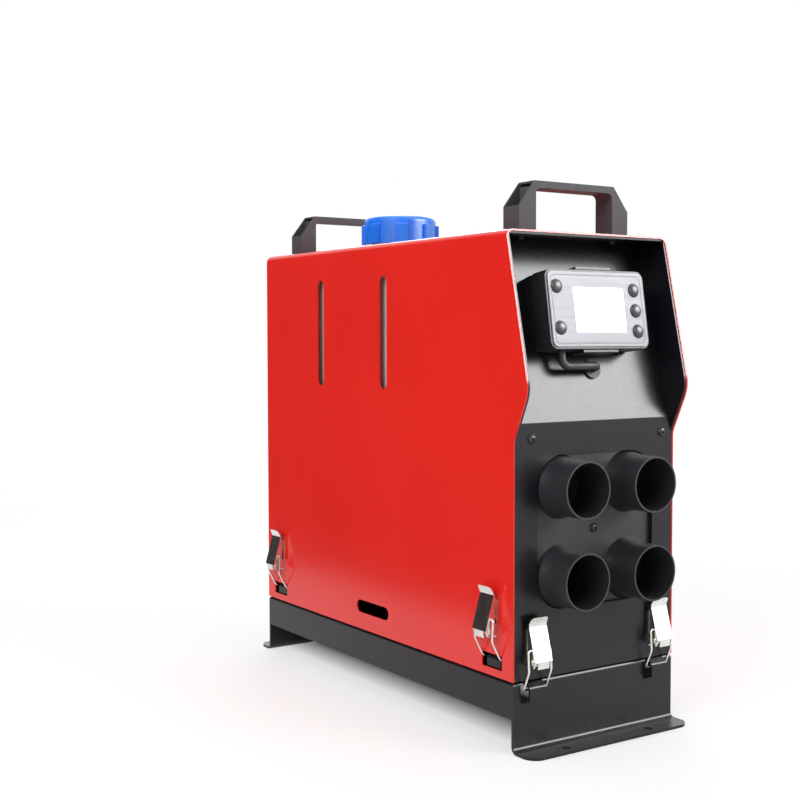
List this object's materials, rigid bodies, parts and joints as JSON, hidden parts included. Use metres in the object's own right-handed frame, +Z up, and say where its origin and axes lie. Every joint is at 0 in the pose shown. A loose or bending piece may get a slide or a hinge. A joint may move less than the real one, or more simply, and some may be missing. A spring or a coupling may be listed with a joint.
{
  "type": "portable diesel air heater",
  "caption": "All-in-one diesel air heater: red folded cover on a black base with feet, warm-air outlets, toggle latches, handles, top fuel filler and a hand controller.",
  "frame": {"origin": "on the floor, in the middle of the four foot holes", "axes": "+Z up, the warm-air outlets face -Y, +X is the object's right seen from behind it"},
  "size_m": [0.1692, 0.402, 0.3855],
  "materials": {
    "red_paint": "satin powder coat, lightly glossy",
    "black_paint": "fine-textured black powder coat",
    "black_plastic": "moulded, satin",
    "nickel_steel": "nickel-plated sheet and wire",
    "zinc_steel": "zinc-plated",
    "white_plastic": "translucent blow-moulded",
    "blue_plastic": "moulded, glossy",
    "seal_rubber": "moulded",
    "silver_face": "silver-grey printed face film",
    "display_glass": "clear window over a pale display",
    "grey_rubber": "moulded keys",
    "board_green": "printed circuit board",
    "cast_aluminium": "raw die casting",
    "heat_steel": "stainless, heat-tinted",
    "gasket_fibre": "pressed fibre",
    "brass_fitting": "turned",
    "filter_plastic": "translucent housing",
    "hose_rubber": "fuel hose"
  },
  "bodies": {
    "casing": {"base_tray": "black_paint", "red_cover": "red_paint", "front_panel": "black_paint", "rear_panel": "black_paint", "handle_front": "black_paint", "handle_rear": "black_paint", "casing_screws": "black_paint", "latch_plates": "nickel_steel", "latch_pins_and_rivets": "nickel_steel", "side_catches": "zinc_steel", "outlet_manifold": "black_plastic", "air_duct": "black_plastic", "rear_intake_grille": "black_plastic", "fuel_tank": "white_plastic", "tank_shelf": "zinc_steel", "controller_housing": "black_plastic", "controller_face": "silver_face", "display_window": "display_glass", "controller_board": "board_green", "controller_holder": "black_plastic", "controller_lead": "hose_rubber", "lead_grommet": "seal_rubber", "heater_lower_shell": "black_plastic", "heater_upper_shell": "black_plastic", "heat_exchanger": "cast_aluminium", "mounting_gasket": "gasket_fibre", "mounting_studs_and_nuts": "zinc_steel", "burner_tube": "heat_steel", "blower_motor": "zinc_steel", "glow_plug": "heat_steel", "overheat_sensor": "brass_fitting", "fuel_pump": "zinc_steel", "pump_clamp": "seal_rubber", "fuel_filter": "filter_plastic", "fuel_hoses": "hose_rubber", "fuel_fittings": "brass_fitting", "control_unit": "black_plastic", "power_gland": "black_plastic"},
    "lever_front_left_body": {"latch_lever_front_left": "nickel_steel"},
    "bail_front_left_body": {"latch_bail_front_left": "nickel_steel"},
    "lever_front_right_body": {"latch_lever_front_right": "nickel_steel"},
    "bail_front_right_body": {"latch_bail_front_right": "nickel_steel"},
    "lever_left_front_body": {"latch_lever_left_front": "nickel_steel"},
    "bail_left_front_body": {"latch_bail_left_front": "nickel_steel"},
    "lever_left_rear_body": {"latch_lever_left_rear": "nickel_steel"},
    "bail_left_rear_body": {"latch_bail_left_rear": "nickel_steel"},
    "lever_right_front_body": {"latch_lever_right_front": "nickel_steel"},
    "bail_right_front_body": {"latch_bail_right_front": "nickel_steel"},
    "lever_right_rear_body": {"latch_lever_right_rear": "nickel_steel"},
    "bail_right_rear_body": {"latch_bail_right_rear": "nickel_steel"},
    "power_button_body": {"power_button": "grey_rubber"},
    "menu_button_body": {"menu_button": "grey_rubber"},
    "up_button_body": {"up_button": "grey_rubber"},
    "ok_button_body": {"ok_button": "grey_rubber"},
    "down_button_body": {"down_button": "grey_rubber"},
    "cap_seal_body": {"cap_seal": "seal_rubber"},
    "cap_body": {"filler_cap": "blue_plastic"},
    "rotor": {"rotor_shaft": "heat_steel", "combustion_impeller": "cast_aluminium", "blower_wheel": "black_plastic"}
  },
  "joints": [
    {"name": "lever_front_left", "type": "hinge", "parent": "casing", "child": "lever_front_left_body", "pos_m": [-0.056, -0.1815, 0.062], "axis": [1, 0, 0], "range_deg": [0, 90]},
    {"name": "bail_front_left", "type": "hinge", "parent": "lever_front_left_body", "child": "bail_front_left_body", "pos_m": [-0.056, -0.18025, 0.0699], "axis": [1, 0, 0], "range_deg": [-72, 0]},
    {"name": "lever_front_right", "type": "hinge", "parent": "casing", "child": "lever_front_right_body", "pos_m": [0.056, -0.1815, 0.062], "axis": [1, 0, 0], "range_deg": [0, 90]},
    {"name": "bail_front_right", "type": "hinge", "parent": "lever_front_right_body", "child": "bail_front_right_body", "pos_m": [0.056, -0.18025, 0.0699], "axis": [1, 0, 0], "range_deg": [-72, 0]},
    {"name": "lever_left_front", "type": "hinge", "parent": "casing", "child": "lever_left_front_body", "pos_m": [-0.081, -0.151, 0.081], "axis": [0, -1, 0], "range_deg": [0, 90]},
    {"name": "bail_left_front", "type": "hinge", "parent": "lever_left_front_body", "child": "bail_left_front_body", "pos_m": [-0.07975, -0.151, 0.0889], "axis": [0, -1, 0], "range_deg": [-72, 0]},
    {"name": "lever_left_rear", "type": "hinge", "parent": "casing", "child": "lever_left_rear_body", "pos_m": [-0.081, 0.151, 0.081], "axis": [0, -1, 0], "range_deg": [0, 90]},
    {"name": "bail_left_rear", "type": "hinge", "parent": "lever_left_rear_body", "child": "bail_left_rear_body", "pos_m": [-0.07975, 0.151, 0.0889], "axis": [0, -1, 0], "range_deg": [-72, 0]},
    {"name": "lever_right_front", "type": "hinge", "parent": "casing", "child": "lever_right_front_body", "pos_m": [0.081, -0.151, 0.081], "axis": [0, 1, 0], "range_deg": [0, 90]},
    {"name": "bail_right_front", "type": "hinge", "parent": "lever_right_front_body", "child": "bail_right_front_body", "pos_m": [0.07975, -0.151, 0.0889], "axis": [0, 1, 0], "range_deg": [-72, 0]},
    {"name": "lever_right_rear", "type": "hinge", "parent": "casing", "child": "lever_right_rear_body", "pos_m": [0.081, 0.151, 0.081], "axis": [0, 1, 0], "range_deg": [0, 90]},
    {"name": "bail_right_rear", "type": "hinge", "parent": "lever_right_rear_body", "child": "bail_right_rear_body", "pos_m": [0.07975, 0.151, 0.0889], "axis": [0, 1, 0], "range_deg": [-72, 0]},
    {"name": "power_button_press", "type": "slide", "parent": "casing", "child": "power_button_body", "axis": [0, 0.9877, -0.1564], "range_m": [0, 0.0008], "stiffness_N_per_m": 400},
    {"name": "menu_button_press", "type": "slide", "parent": "casing", "child": "menu_button_body", "axis": [0, 0.9877, -0.1564], "range_m": [0, 0.0008], "stiffness_N_per_m": 400},
    {"name": "up_button_press", "type": "slide", "parent": "casing", "child": "up_button_body", "axis": [0, 0.9877, -0.1564], "range_m": [0, 0.0008], "stiffness_N_per_m": 400},
    {"name": "ok_button_press", "type": "slide", "parent": "casing", "child": "ok_button_body", "axis": [0, 0.9877, -0.1564], "range_m": [0, 0.0008], "stiffness_N_per_m": 400},
    {"name": "down_button_press", "type": "slide", "parent": "casing", "child": "down_button_body", "axis": [0, 0.9877, -0.1564], "range_m": [0, 0.0008], "stiffness_N_per_m": 400},
    {"name": "cap_rise", "type": "slide", "parent": "casing", "child": "cap_seal_body", "axis": [0, 0, 1], "range_m": [0, 0.03]},
    {"name": "cap_turn", "type": "hinge", "parent": "cap_seal_body", "child": "cap_body", "pos_m": [0, 0.072, 0], "axis": [0, 0, 1], "range_deg": [0, 1800]},
    {"name": "rotor_spin", "type": "hinge", "parent": "casing", "child": "rotor", "pos_m": [0, 0, 0.112], "axis": [0, 1, 0], "continuous": true}
  ],
  "couplings": [
    {"joint": "bail_front_left", "follows": "lever_front_left", "ratio": -0.776},
    {"joint": "bail_front_right", "follows": "lever_front_right", "ratio": -0.776},
    {"joint": "bail_left_front", "follows": "lever_left_front", "ratio": -0.789},
    {"joint": "bail_left_rear", "follows": "lever_left_rear", "ratio": -0.789},
    {"joint": "bail_right_front", "follows": "lever_right_front", "ratio": -0.789},
    {"joint": "bail_right_rear", "follows": "lever_right_rear", "ratio": -0.789},
    {"joint": "cap_turn", "follows": "cap_rise", "rad_per_m": 1047.2}
  ]
}
